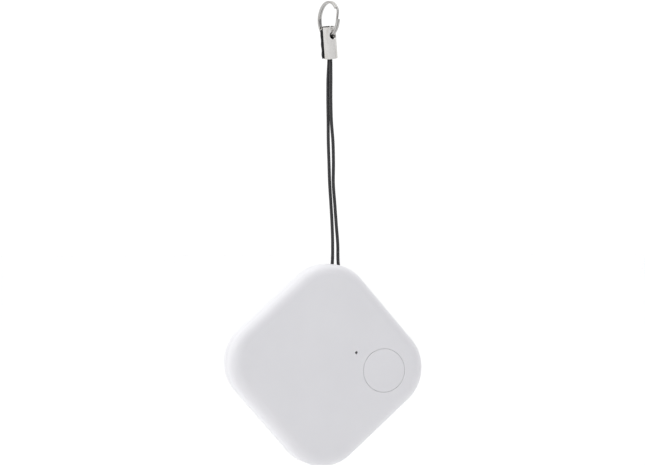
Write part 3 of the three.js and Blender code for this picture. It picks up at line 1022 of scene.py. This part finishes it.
def pin_rows(name, middle, count, pitch, gap, pin, turn=0):
    """Two facing rows of pins, each pin a small block of solder-coated metal."""
    pin_sizes = dict(zip(("Pin Width", "Pin Reach", "Pin Height"), pin))
    rows = Builder(name, {"Count": count, "Pitch": pitch, "Row Gap": gap, **pin_sizes})
    count, pitch = rows.size("Count"), rows.size("Pitch")
    box = rows.combined(*[rows.size(size) for size in pin_sizes])
    block = rows.add("GeometryNodeMeshCube", None, {"Size": box})
    both = rows.tree.nodes.new("GeometryNodeJoinGeometry")
    for side in (-0.5, 0.5):
        start = rows.combined(pitch * (count - 1) * -0.5, rows.size("Row Gap") * side, 0.0)
        line = {"Count": count, "Start Location": start, "Offset": rows.combined(pitch, 0.0, 0.0)}
        rows.tree.links.new(rows.add("GeometryNodeMeshLine", None, line).socket, both.inputs[0])
    points = Value(rows, both.outputs[0])
    pins = rows.add("GeometryNodeInstanceOnPoints", None, {"Points": points, "Instance": block})
    mesh = rows.built(pins, solder)
    mesh.transform(Matrix.Translation(middle) @ Matrix.Rotation(radians(turn), 4, "Z"))
    return mesh


def tact_switch():
    size, bottom, top = switch["size"], switch["bottom"], switch["top"]
    base_top = bottom + switch_base["height"]
    frame = level_bar(button_place, (size, size), base_top, top, ease=0.08)
    frame = carved(frame, "DIFFERENCE", bore(button_place, switch["well"], bottom, top, 0.08))
    base = level_bar(button_place, (switch_base["size"],) * 2, bottom, base_top, ease=0.03)
    legs_middle = (*button_place, bottom + switch_legs["pin"][2] / 2)
    legs = pin_rows("switch_legs", legs_middle, **switch_legs)
    parts = [(frame, solder), (base, black_mould), (legs, solder)]
    corner = size / 2 - switch_rivet["from_edge"]
    low, high = [top + reach for reach in switch_rivet["reach"]]
    for x in (-corner, corner):
        for y in (-corner, corner):
            place = (button_place[0] + x, button_place[1] + y)
            parts.append((drum(place, switch_rivet["radius"], low, high, 0.03, 16), solder))
    return assembled("tact_switch", *parts)


def switch_plunger():
    return drum(button_place, plunger["radius"], plunger["bottom"], plunger["top"], 0.12, 64)


add_case_piece("tact_switch", tact_switch(), None, "case", "cell_steel", "switch_body")
pressed = ("plunger", "black_plastic", "switch_plunger")
add_case_piece("switch_plunger_mould", switch_plunger(), black_mould, *pressed)


# ---------- circuit board
# 0.8 mm glass epoxy with green solder mask, cut to the case and held by four stakes. It
# carries copper tracks on both sides, with tinned vias through it.

board_margin = case["wall"] + 0.4
board_end = 14.5
board_ease = 0.05
track_pitch = 0.7
via_grid = {"Across": 27.0, "Along": 24.0, "Columns": 19, "Rows": 17, "Share Kept": 0.2}
via_tube = {"Radius": 0.22, "Depth": 0.86}
via_seed = 7
via_shift = -2


def on_the_case(finish):
    """Millimetres on the lying case, for a finish that follows its layout."""
    hung = {"Location": case_middle, "Rotation": (pi / 2, case_roll, 0), "Scale": (0.001,) * 3}
    return finish.place(kind="TEXTURE", **hung)


def solder_mask():
    """Green lacquer over copper: square blocks of tracks that run one way or the other."""
    finish = Finish("green_solder_mask", {"Coat Weight": 0.35, "Coat Roughness": 0.2})
    here = on_the_case(finish)
    x, y, _ = finish.split(here)
    cells = {"distance": "CHEBYCHEV"}
    spacing = {"Vector": here, "Scale": 0.28, "Randomness": 0.6}
    lots = finish.add("ShaderNodeTexVoronoi", cells, spacing, "Color")
    lot, filled, _ = finish.split(lots)
    sideways = lot > 0.5
    turns = tau / track_pitch
    tracks = wave(x * turns) * sideways + wave(y * turns) * (1 - sideways)
    copper = (tracks > 0.35) * (filled < 0.62) + (filled > 0.80)
    weave = wave(x * tau * 3) * wave(y * tau * 3)
    tone = copper * 0.7 + finish.noise(here, 3.0) * 0.3
    colour = finish.ramp(tone, (0.1, (0.004, 0.040, 0.018)), (0.9, (0.012, 0.125, 0.050)))
    finish.drive({"Base Color": colour, "Roughness": finish.noise(here, 0.4) * 0.15 + 0.25})
    finish.bump(copper + weave * 0.15, 0.00003)
    return finish


def circuit_board():
    low, high = board["bottom"], board["top"]
    profile = [(board_margin + board_ease, low), (board_margin, low + board_ease)]
    profile += [(board_margin, high - board_ease), (board_margin + board_ease, high)]
    blank = moulding("board", profile)
    side = case["side"]
    beyond = level_bar((0, board_end + side / 2), (side, side), low - 1, high + 1)
    hole = stake["radius"] + stake["hole_gap"]
    holes = [bore(place, hole, low - 1, high + 1) for place in stake_places]
    return carved(blank, "DIFFERENCE", beyond, *holes)


def tinned_vias():
    """A field of vias: a loose grid of short tinned tubes, a fifth of its places used."""
    field = Builder("tinned_vias", {**via_grid, **via_tube})
    names = {"Size X": "Across", "Size Y": "Along", "Vertices X": "Columns", "Vertices Y": "Rows"}
    lattice = {socket: field.size(size) for socket, size in names.items()}
    grid = field.add("GeometryNodeMeshGrid", None, lattice)
    chance = {"Probability": field.size("Share Kept"), "Seed": via_seed}
    chosen = field.add("FunctionNodeRandomValue", {"data_type": "BOOLEAN"}, chance, 3)
    tube = {"Radius": field.size("Radius"), "Depth": field.size("Depth")}
    via = field.add("GeometryNodeMeshCylinder", None, {"Vertices": 12, **tube})
    stands = {"Points": grid, "Selection": chosen, "Instance": via}
    mesh = field.built(field.add("GeometryNodeInstanceOnPoints", None, stands), solder)
    mesh.transform(Matrix.Translation((0, via_shift, (board["bottom"] + board["top"]) / 2)))
    return mesh


board_layers = (circuit_board(), solder_mask()), (tinned_vias(), solder)
board_parts = assembled("green_circuit_board", *board_layers)
add_case_piece("green_circuit_board", board_parts, None, "case", "circuit_board", "circuit_board")


# ---------- parts on the board
# Surface-mount parts, soldered flat on the front of the board: the radio chip and its
# crystal, the ceramic aerial, the sounder's driver, and a few two-ended parts.

solder_top = 1.48
radio_chip = {"place": (-5, -5.5), "size": (5, 5, 0.8)}
radio_pins = {"count": 8, "pitch": 0.5, "gap": 4.96, "pin": (0.26, 0.3, 0.22)}
driver_chip = {"place": (-7.6, 0.4), "size": (2.9, 1.6, 0.8)}
driver_pins = {"count": 3, "pitch": 0.95, "gap": 2.0, "pin": (0.4, 0.6, 0.16)}
chip_dimple = {"radius": 0.18, "from_edge": 0.45, "depth": 0.04}
crystal = {"place": (-10.3, -4.5), "size": (2.5, 3.2, 0.6)}
aerial = {"place": (-17.2, 0), "size": (2, 7, 0.9)}
terminal = {"length": 0.62, "from_end": 0.3, "proud": 0.02}
meander = {"runs": 8, "from_end": 0.9, "from_side": 0.2, "width": 0.2, "height": 0.03}
link_height = 0.028
end_cap = 0.28
fillet = {"length": 0.24, "height": 0.12, "out": 0.04}
crystal_lid = {"bottom": 0.55, "inset": 0.4, "ease": 0.1}


def speckled(name, dark, light, lump, roughness):
    """A dull fired or moulded body, speckled from a dark to a light shade."""
    stops = (0.3, dark), (0.7, light)
    return mottled(name, {}, lump, 5, stops, (roughness, roughness + 0.2), 0.000008)


chip_epoxy = speckled("chip_epoxy", (0.010, 0.010, 0.011), (0.030, 0.030, 0.032), 0.00008, 0.42)
aerial_ceramic = speckled("blue_ceramic", (0.10, 0.15, 0.18), (0.17, 0.24, 0.28), 0.0001, 0.45)
chip_ceramic = speckled("tan_ceramic", (0.30, 0.22, 0.13), (0.42, 0.33, 0.22), 0.0001, 0.5)
coil_ferrite = speckled("grey_ferrite", (0.05, 0.05, 0.05), (0.10, 0.095, 0.09), 0.00006, 0.6)


def on_board(part, bottom=0.0, top=1.0, inset=0.0, ease=0.05):
    """A block over a part's own place, between two shares of its height."""
    width, length, height = part["size"]
    low, high = solder_top + bottom * height, solder_top + top * height
    return level_bar(part["place"], (width - inset, length - inset), low, high, ease=ease)


def packaged_chip(name, node, part, pins, turns):
    """A black chip with a round dimple at its first pin, and rows of pins at each turn."""
    width, length, height = part["size"]
    x, y = part["place"]
    dimple = (x - width / 2 + chip_dimple["from_edge"], y + length / 2 - chip_dimple["from_edge"])
    top = solder_top + height
    cutter = bore(dimple, chip_dimple["radius"], top - chip_dimple["depth"], top)
    parts = [(carved(on_board(part), "DIFFERENCE", cutter), chip_epoxy)]
    pin_middle = (x, y, solder_top + pins["pin"][2] / 2)
    parts += [(pin_rows(f"{name}_pins", pin_middle, turn=turn, **pins), solder) for turn in turns]
    add_case_piece(name, assembled(name, *parts), None, "case", "black_plastic", node)


packaged_chip("radio_chip_package", "bluetooth_chip", radio_chip, radio_pins, turns=(0, 90))
packaged_chip("driver_chip_package", "sounder_driver", driver_chip, driver_pins, turns=(0,))

crystal_base = (on_board(crystal, top=crystal_lid["bottom"]), chip_ceramic)
crystal_parts = assembled("crystal_package", crystal_base, (on_board(crystal, **crystal_lid), solder))
add_case_piece("crystal_package", crystal_parts, None, "case", "nickel_plate", "crystal")


def ceramic_aerial():
    """A ceramic block with a silver meander printed on it and a terminal at each end."""
    width, length, height = aerial["size"]
    x, y = aerial["place"]
    parts = [on_board(aerial, ease=0.08)]
    for end in (-1, 1):
        place = (x, y + end * (length / 2 - terminal["from_end"]), solder_top + height / 2)
        proud = 2 * terminal["proud"]
        parts.append(bar(place, (width + proud, terminal["length"], height + proud), ease=0.08))
    first = y - length / 2 + meander["from_end"]
    pitch = (length - 2 * meander["from_end"]) / (meander["runs"] - 1)
    line, top = meander["width"], solder_top + height
    for run in range(meander["runs"]):
        size = (width - 2 * meander["from_side"], line, meander["height"])
        parts.append(bar((x, first + run * pitch, top), size))
    for run in range(meander["runs"] - 1):
        side = 1 if run % 2 else -1
        link_x = x + side * (width / 2 - meander["from_side"] - line / 2)
        place = (link_x, first + (run + 0.5) * pitch, top)
        parts.append(bar(place, (line, pitch + line, link_height)))
    finishes = [aerial_ceramic, *[solder] * (len(parts) - 1)]
    return assembled("ceramic_aerial", *zip(parts, finishes))


add_case_piece("ceramic_aerial", ceramic_aerial(), None, "case", "ceramic", "chip_antenna")


def two_ended(node, place, size, body, slot):
    """A small part whose two ends are tinned and sit in fillets of solder."""
    length_way = Vector((1, 0, 0)) if size[0] > size[1] else Vector((0, 1, 0))
    reach = max(size[:2]) / 2
    parts = [(on_board({"place": place, "size": size}, top=0.96, inset=0.04), body)]
    blocks = [(size[2], end_cap, reach - end_cap / 2)]
    blocks += [(fillet["height"], fillet["length"], reach + fillet["out"])]
    for end in (-1, 1):
        for height, length, out in blocks:
            middle = Vector((*place, solder_top + height / 2)) + length_way * end * out
            block_size = Vector((*size[:2], height)) - length_way * (2 * reach - length)
            parts.append((bar(middle, block_size, ease=0.05), solder))
    name = f"{node}_block"
    add_case_piece(name, assembled(name, *parts), None, "case", slot, node)


two_ended("bulk_capacitor", (-5.2, -11.2), (3.2, 1.6, 0.9), chip_ceramic, "ceramic")
two_ended("supply_capacitor", (-0.4, -5.5), (0.8, 1.6, 0.7), chip_ceramic, "ceramic")
two_ended("crystal_capacitor", (-8.8, -8.9), (1.6, 0.8, 0.7), chip_ceramic, "ceramic")
two_ended("matching_coil", (-13.2, 1.5), (1.6, 0.8, 0.7), coil_ferrite, "black_plastic")
two_ended("pull_up_resistor", (7.6, -4.6), (0.8, 1.6, 0.5), chip_epoxy, "black_plastic")


# ---------- battery holder and contacts
# A black nylon ring under the board keeps the cell in place. A sprung strip touches the
# side of the cell and a sprung cross touches its cap, both stamped from plated bronze.

cell = {"place": (5.5, -4.5), "radius": 10, "bottom": -2.95, "top": 0.25}
holder = {"inner": 10.25, "outer": 11, "bottom": -2.2, "ease": 0.12}
window = {"size": (2.2, 5, 8), "heading": 120, "distance": 10.3, "height": 0}
finger_notch = {"size": (6, 8, 3.4), "heading": -135, "distance": 10.75, "height": -2.3}
contact_top = 0.6
contact_ease = 0.04
side_contact = {"distance": 10.3, "width": 4, "sheet": 0.2, "foot": 1.4, "bottom": -2.0}
cap_contact = {"length": 9, "width": 1.6, "sheet": 0.15}
contact_tip = {"distance": 3.9, "radius": 0.5, "gap": 0.05, "sunk": 0.02, "ease": 0.12}


def round_cell(heading, distance, height=0.0):
    """The place at a heading and a distance from the middle of the cell."""
    x, y = cell["place"]
    return (x + distance * cos(radians(heading)), y + distance * sin(radians(heading)), height)


def battery_holder():
    inner, outer, bottom, ease = holder.values()
    section = [(inner, bottom + 2 * ease), (inner + 2 * ease, bottom), (outer - ease, bottom)]
    section += [(outer, bottom + ease), (outer, contact_top), (inner, contact_top)]
    cutters = []
    for gap in (window, finger_notch):
        middle = round_cell(gap["heading"], gap["distance"], gap["height"])
        cutters.append(bar(middle, gap["size"], gap["heading"]))
    return carved(turned("holder", cell["place"], section, 128), "DIFFERENCE", *cutters)


def side_spring():
    """A strip down the side of the cell, on a foot that turns outwards over the holder."""
    heading, sheet = window["heading"], side_contact["sheet"]
    rules = {"turn": heading, "ease": contact_ease}
    place = round_cell(heading, side_contact["distance"])[:2]
    size = (sheet, side_contact["width"])
    strip = level_bar(place, size, side_contact["bottom"], contact_top, **rules)
    place = round_cell(heading, side_contact["distance"] + side_contact["foot"] / 2)[:2]
    size = (side_contact["foot"], side_contact["width"])
    foot = level_bar(place, size, contact_top - sheet, contact_top, **rules)
    return carved(strip, "UNION", foot)


def cap_spring():
    """Two crossed arms, with a dimple near each end that touches the cell's cap."""
    size, low = (cap_contact["length"], cap_contact["width"]), contact_top - cap_contact["sheet"]
    arms, tips = [], []
    for turn in (45, 135):
        arms.append(level_bar(cell["place"], size, low, contact_top, turn, contact_ease))
    for heading in (45, 135, 225, 315):
        place = round_cell(heading, contact_tip["distance"])[:2]
        touching, top = cell["top"] + contact_tip["gap"], contact_top - contact_tip["sunk"]
        tips.append(drum(place, contact_tip["radius"], touching, top, contact_tip["ease"], 32))
    return carved(arms[0], "UNION", arms[1], *tips)


held = ("case", "black_plastic", "battery_holder")
add_case_piece("cell_holder_ring", battery_holder(), black_mould, *held)
plate = nickel_plate("plated_bronze", (1, 1, 0.2))
touching = ("case", "nickel_plate")
add_case_piece("side_contact_spring", side_spring(), plate, *touching, "positive_contact")
add_case_piece("cap_contact_spring", cap_spring(), plate, *touching, "negative_contact")


# ---------- sounder
# A piezo disc behind the front: silvered ceramic on a brass disc, on a ring of black
# foam that seals it to the front under the sound hole, with a red and a black lead.

piezo_place = (2.5, 6.5)
foam_section = [(4.7, 2.45), (4.7, 2.75), (6.5, 2.75), (6.5, 2.45)]
brass_disc = {"radius": 6.4, "bottom": 2.2, "top": 2.4, "ease": 0.03, "steps": 128}
ceramic_disc = {"radius": 4.6, "bottom": 1.98, "top": 2.15, "ease": 0.02, "steps": 96}
silvering = {"radius": 4.3, "bottom": 1.965, "top": 2.0, "ease": 0.01, "steps": 96}
brass = {"clean": (0.72, 0.53, 0.25), "dull": (0.55, 0.38, 0.17), "roughness": 0.22}
silver = {"clean": (0.78, 0.77, 0.74), "dull": (0.62, 0.60, 0.56), "roughness": 0.35}
lead = {"radius": 0.2, "height": 1.69, "bow": 0.6, "step": 0.15, "sides": 20}
lead_ends = {"red": [(0.2, 5.2), (-7.4, 3.9)], "black": [(-2.9, 6.9), (-7.6, 5.9)]}
red_shades = [(0.30, 0.012, 0.010), (0.42, 0.03, 0.02)]
black_shades = [(0.01, 0.01, 0.01), (0.03, 0.03, 0.03)]
bead = {"radius": 0.42, "bottom": 1.46, "top": 1.72, "ease": 0.12, "steps": 24}
bead_shift = Vector((-0.1, -0.05))


def turned_metal(name, middle, clean, dull, roughness):
    """Metal turned or rolled on a disc, with fine rings round its middle."""
    finish = Finish(name, {"Metallic": 1.0})
    x, y, _ = finish.split(on_the_case(finish))
    x, y = x - middle[0], y - middle[1]
    squares = x * x + y * y
    radius = squares.math("SQRT", squares)
    swirl = finish.add("ShaderNodeCombineXYZ", None, {0: radius, 1: radius * 0.3})
    rings = finish.noise(swirl, 0.12, 3)
    stain = finish.noise(finish.place(), 0.003, 4)
    finish.drive({"Base Color": finish.mixed(stain, clean, dull), "Roughness": rings * 0.2 + roughness})
    finish.bump(rings, 0.000006)
    return finish


def foam_rubber():
    finish = Finish("closed_cell_foam", {"Sheen Weight": 0.2})
    here = finish.place()
    cells = finish.add("ShaderNodeTexVoronoi", None, {"Vector": here, "Scale": 1 / 0.00018}, "Distance")
    shade = finish.ramp(cells, (0.1, (0.006, 0.006, 0.006)), (0.6, (0.035, 0.035, 0.036)))
    finish.drive({"Base Color": shade, "Roughness": cells * 0.2 + 0.75})
    finish.bump(cells, 0.00004)
    return finish


def wire_sleeve(name, dark, light):
    """Soft PVC sleeving, a little cloudy, with a dry sheen."""
    stops = (0.3, dark), (0.7, light)
    return mottled(name, {"IOR": 1.5}, 0.0007, 3, stops, (0.35, 0.6), 0.000008)


def sounder_lead(colour, shades, slot):
    """A thin sleeved wire from the sounder to the bead of solder that holds it."""
    start, end = lead_ends[colour]
    height = lead["height"]
    middle = ((start[0] + end[0]) / 2, (start[1] + end[1]) / 2 + lead["bow"], height)
    path, places = smooth_path([(*start, height), middle, (*end, height)], lead["step"])
    wire = tube_mesh(colour, path, places, lead["radius"], lead["sides"], facing=(0, 0, 1))
    sleeve = wire_sleeve(f"{colour}_sleeve", *shades)
    joint = drum(Vector(end) + bead_shift, **bead)
    whole = assembled(f"{colour}_lead", (wire, sleeve), (joint, solder))
    add_case_piece(f"{colour}_sounder_lead", whole, None, "case", slot, f"sounder_{colour}_lead")


foam_mesh = turned("foam_ring", piezo_place, foam_section, 96)
add_case_piece("foam_seal_ring", foam_mesh, foam_rubber(), "case", "foam", "sounder_foam_ring")
brass_finish = turned_metal("rolled_brass", piezo_place, **brass)
brass_mesh = drum(piezo_place, **brass_disc)
add_case_piece("brass_sounder_disc", brass_mesh, brass_finish, "case", "brass", "sounder_brass_disc")
white_ceramic = speckled("white_ceramic", (0.62, 0.60, 0.56), (0.78, 0.76, 0.72), 0.0001, 0.5)
silver_finish = turned_metal("fired_silver", piezo_place, **silver)
layers = [(drum(piezo_place, **ceramic_disc), white_ceramic)]
layers += [(drum(piezo_place, **silvering), silver_finish)]
piezo_disc = assembled("silvered_ceramic", *layers)
add_case_piece("silvered_ceramic_disc", piezo_disc, None, "case", "ceramic", "sounder_ceramic_disc")
sounder_lead("red", red_shades, "red_lead")
sounder_lead("black", black_shades, "black_plastic")


# ---------- coin cell
# A 20 by 3.2 mm lithium cell: a stainless can whose rim is rolled in over a dark gasket,
# and a stainless cap on the board side.

can = {"sheet": 0.25, "foot": 0.3, "step": 1.5, "lead": 0.2, "step_height": 0.04}
can_rim = {"width": 0.45, "height": 0.4, "drop": 0.15, "lip": 0.2}
cell_top = {"radius": 8.8, "ease": 0.25, "sunk": 0.35}
gasket_section = [(8.9, -2.55), (9.25, -2.55), (9.25, 0.06), (9.18, 0.1), (8.97, 0.1), (8.9, 0.06)]


def cell_can():
    """The can's half-section, with its rolled rim, its rounded foot and a faint step."""
    r, low, rim_top = cell["radius"], cell["bottom"], cell["top"] - can_rim["drop"]
    wall, raised = r - can["sheet"], low + can["step_height"]
    foot = rounded_edge(r, low, -can["foot"], -can["foot"], 6)
    outside = [(0, raised), (r - can["step"] - can["lead"], raised), (r - can["step"], low)]
    outside += [*reversed(foot), *rounded_edge(r, rim_top, -can_rim["width"], can_rim["height"], 8)]
    mouth = wall - can_rim["height"]
    inside = [(mouth, rim_top), (mouth, rim_top - can_rim["lip"]), (wall, rim_top - can_rim["height"])]
    inside += [(wall, low + can["sheet"]), (0, low + can["sheet"])]
    return turned("can", cell["place"], [*outside, *inside], 160)


def cell_cap():
    radius, low, top = cell_top["radius"], cell["bottom"] + cell_top["sunk"], cell["top"]
    edge = rounded_edge(radius, top, -cell_top["ease"], cell_top["ease"], 6)
    return turned("cap", cell["place"], [(0, low), (0, top), *reversed(edge), (radius, low)], 128)


steel = turned_metal("stainless_steel", cell["place"], (0.60, 0.59, 0.58), (0.48, 0.47, 0.46), 0.22)
add_case_piece("steel_cell_can", cell_can(), steel, "battery", "cell_steel", "cell_can")
add_case_piece("steel_cell_cap", cell_cap(), steel, "battery", "cell_steel", "cell_cap")
gasket = turned("gasket", cell["place"], gasket_section, 128)
polymer = moulded_black("gasket_polymer", 0.0003)
add_case_piece("cell_seal_ring", gasket, polymer, "battery", "black_plastic", "cell_gasket")


# ---------- back cover
# The back half of the case, in the same white ABS. Its tongue snaps into the front shell
# all round, a socket takes the end of the post, and a nail notch in the bottom corner
# lets it be prised off.

back_edge = {"width": 1.8, "depth": 1.8}
pry_notch = {"length": 6, "depth": 0.7, "reach": 2}
snap_chamfer = {"width": 0.12, "height": 0.15}
post_socket = {"radius": 1.15, "flare": 0.1, "top": -1.0, "ease": 0.08}


def back_cover():
    back, rim_height = -case["front"], parting["cover"]
    edge = rounded_edge(0, back, back_edge["width"], -back_edge["depth"], 18)
    rim = rounded_edge(0, rim_height, parting["ease"], parting["ease"], 3)
    cover = moulding("back_moulding", [*reversed(edge), *rim])
    cover = carved(cover, "DIFFERENCE", case_core("core"))
    margin, top = case["wall"] - tongue["width"] + tongue["gap"], rim_height + tongue["height"]
    lip = [(margin, rim_height - 0.3), (margin, top - snap_chamfer["height"])]
    lip = moulding("lip", [*lip, (margin + snap_chamfer["width"], top)])
    inside = moulding("inside", [(case["wall"], rim_height - 1), (case["wall"], top + 1)])
    inner, flare, high, ease = post_socket.values()
    low, outer = case_inside["back"] - root, shoulder["radius"]
    socket_section = [(inner, low), (outer, low), (outer, high - ease), (outer - ease, high)]
    socket_section += [(inner + flare, high), (inner, high - flare)]
    fittings = [
        carved(lip, "DIFFERENCE", inside),
        rib_between(low, parting["front"] + tongue["height"] - tongue["gap"]),
        turned("socket", post_place, socket_section, 48),
    ]
    tip = (0, -corner_reach - case["corner"])
    size = (pry_notch["length"], pry_notch["reach"])
    notch = level_bar(tip, size, rim_height - pry_notch["depth"], top, ease=0.25, segments=3)
    return carved(carved(cover, "UNION", *fittings), "DIFFERENCE", slot_cutter(), notch)


add_case_piece("back_moulding", back_cover(), shell_plastic, "cover", "white_shell", "back_cover")
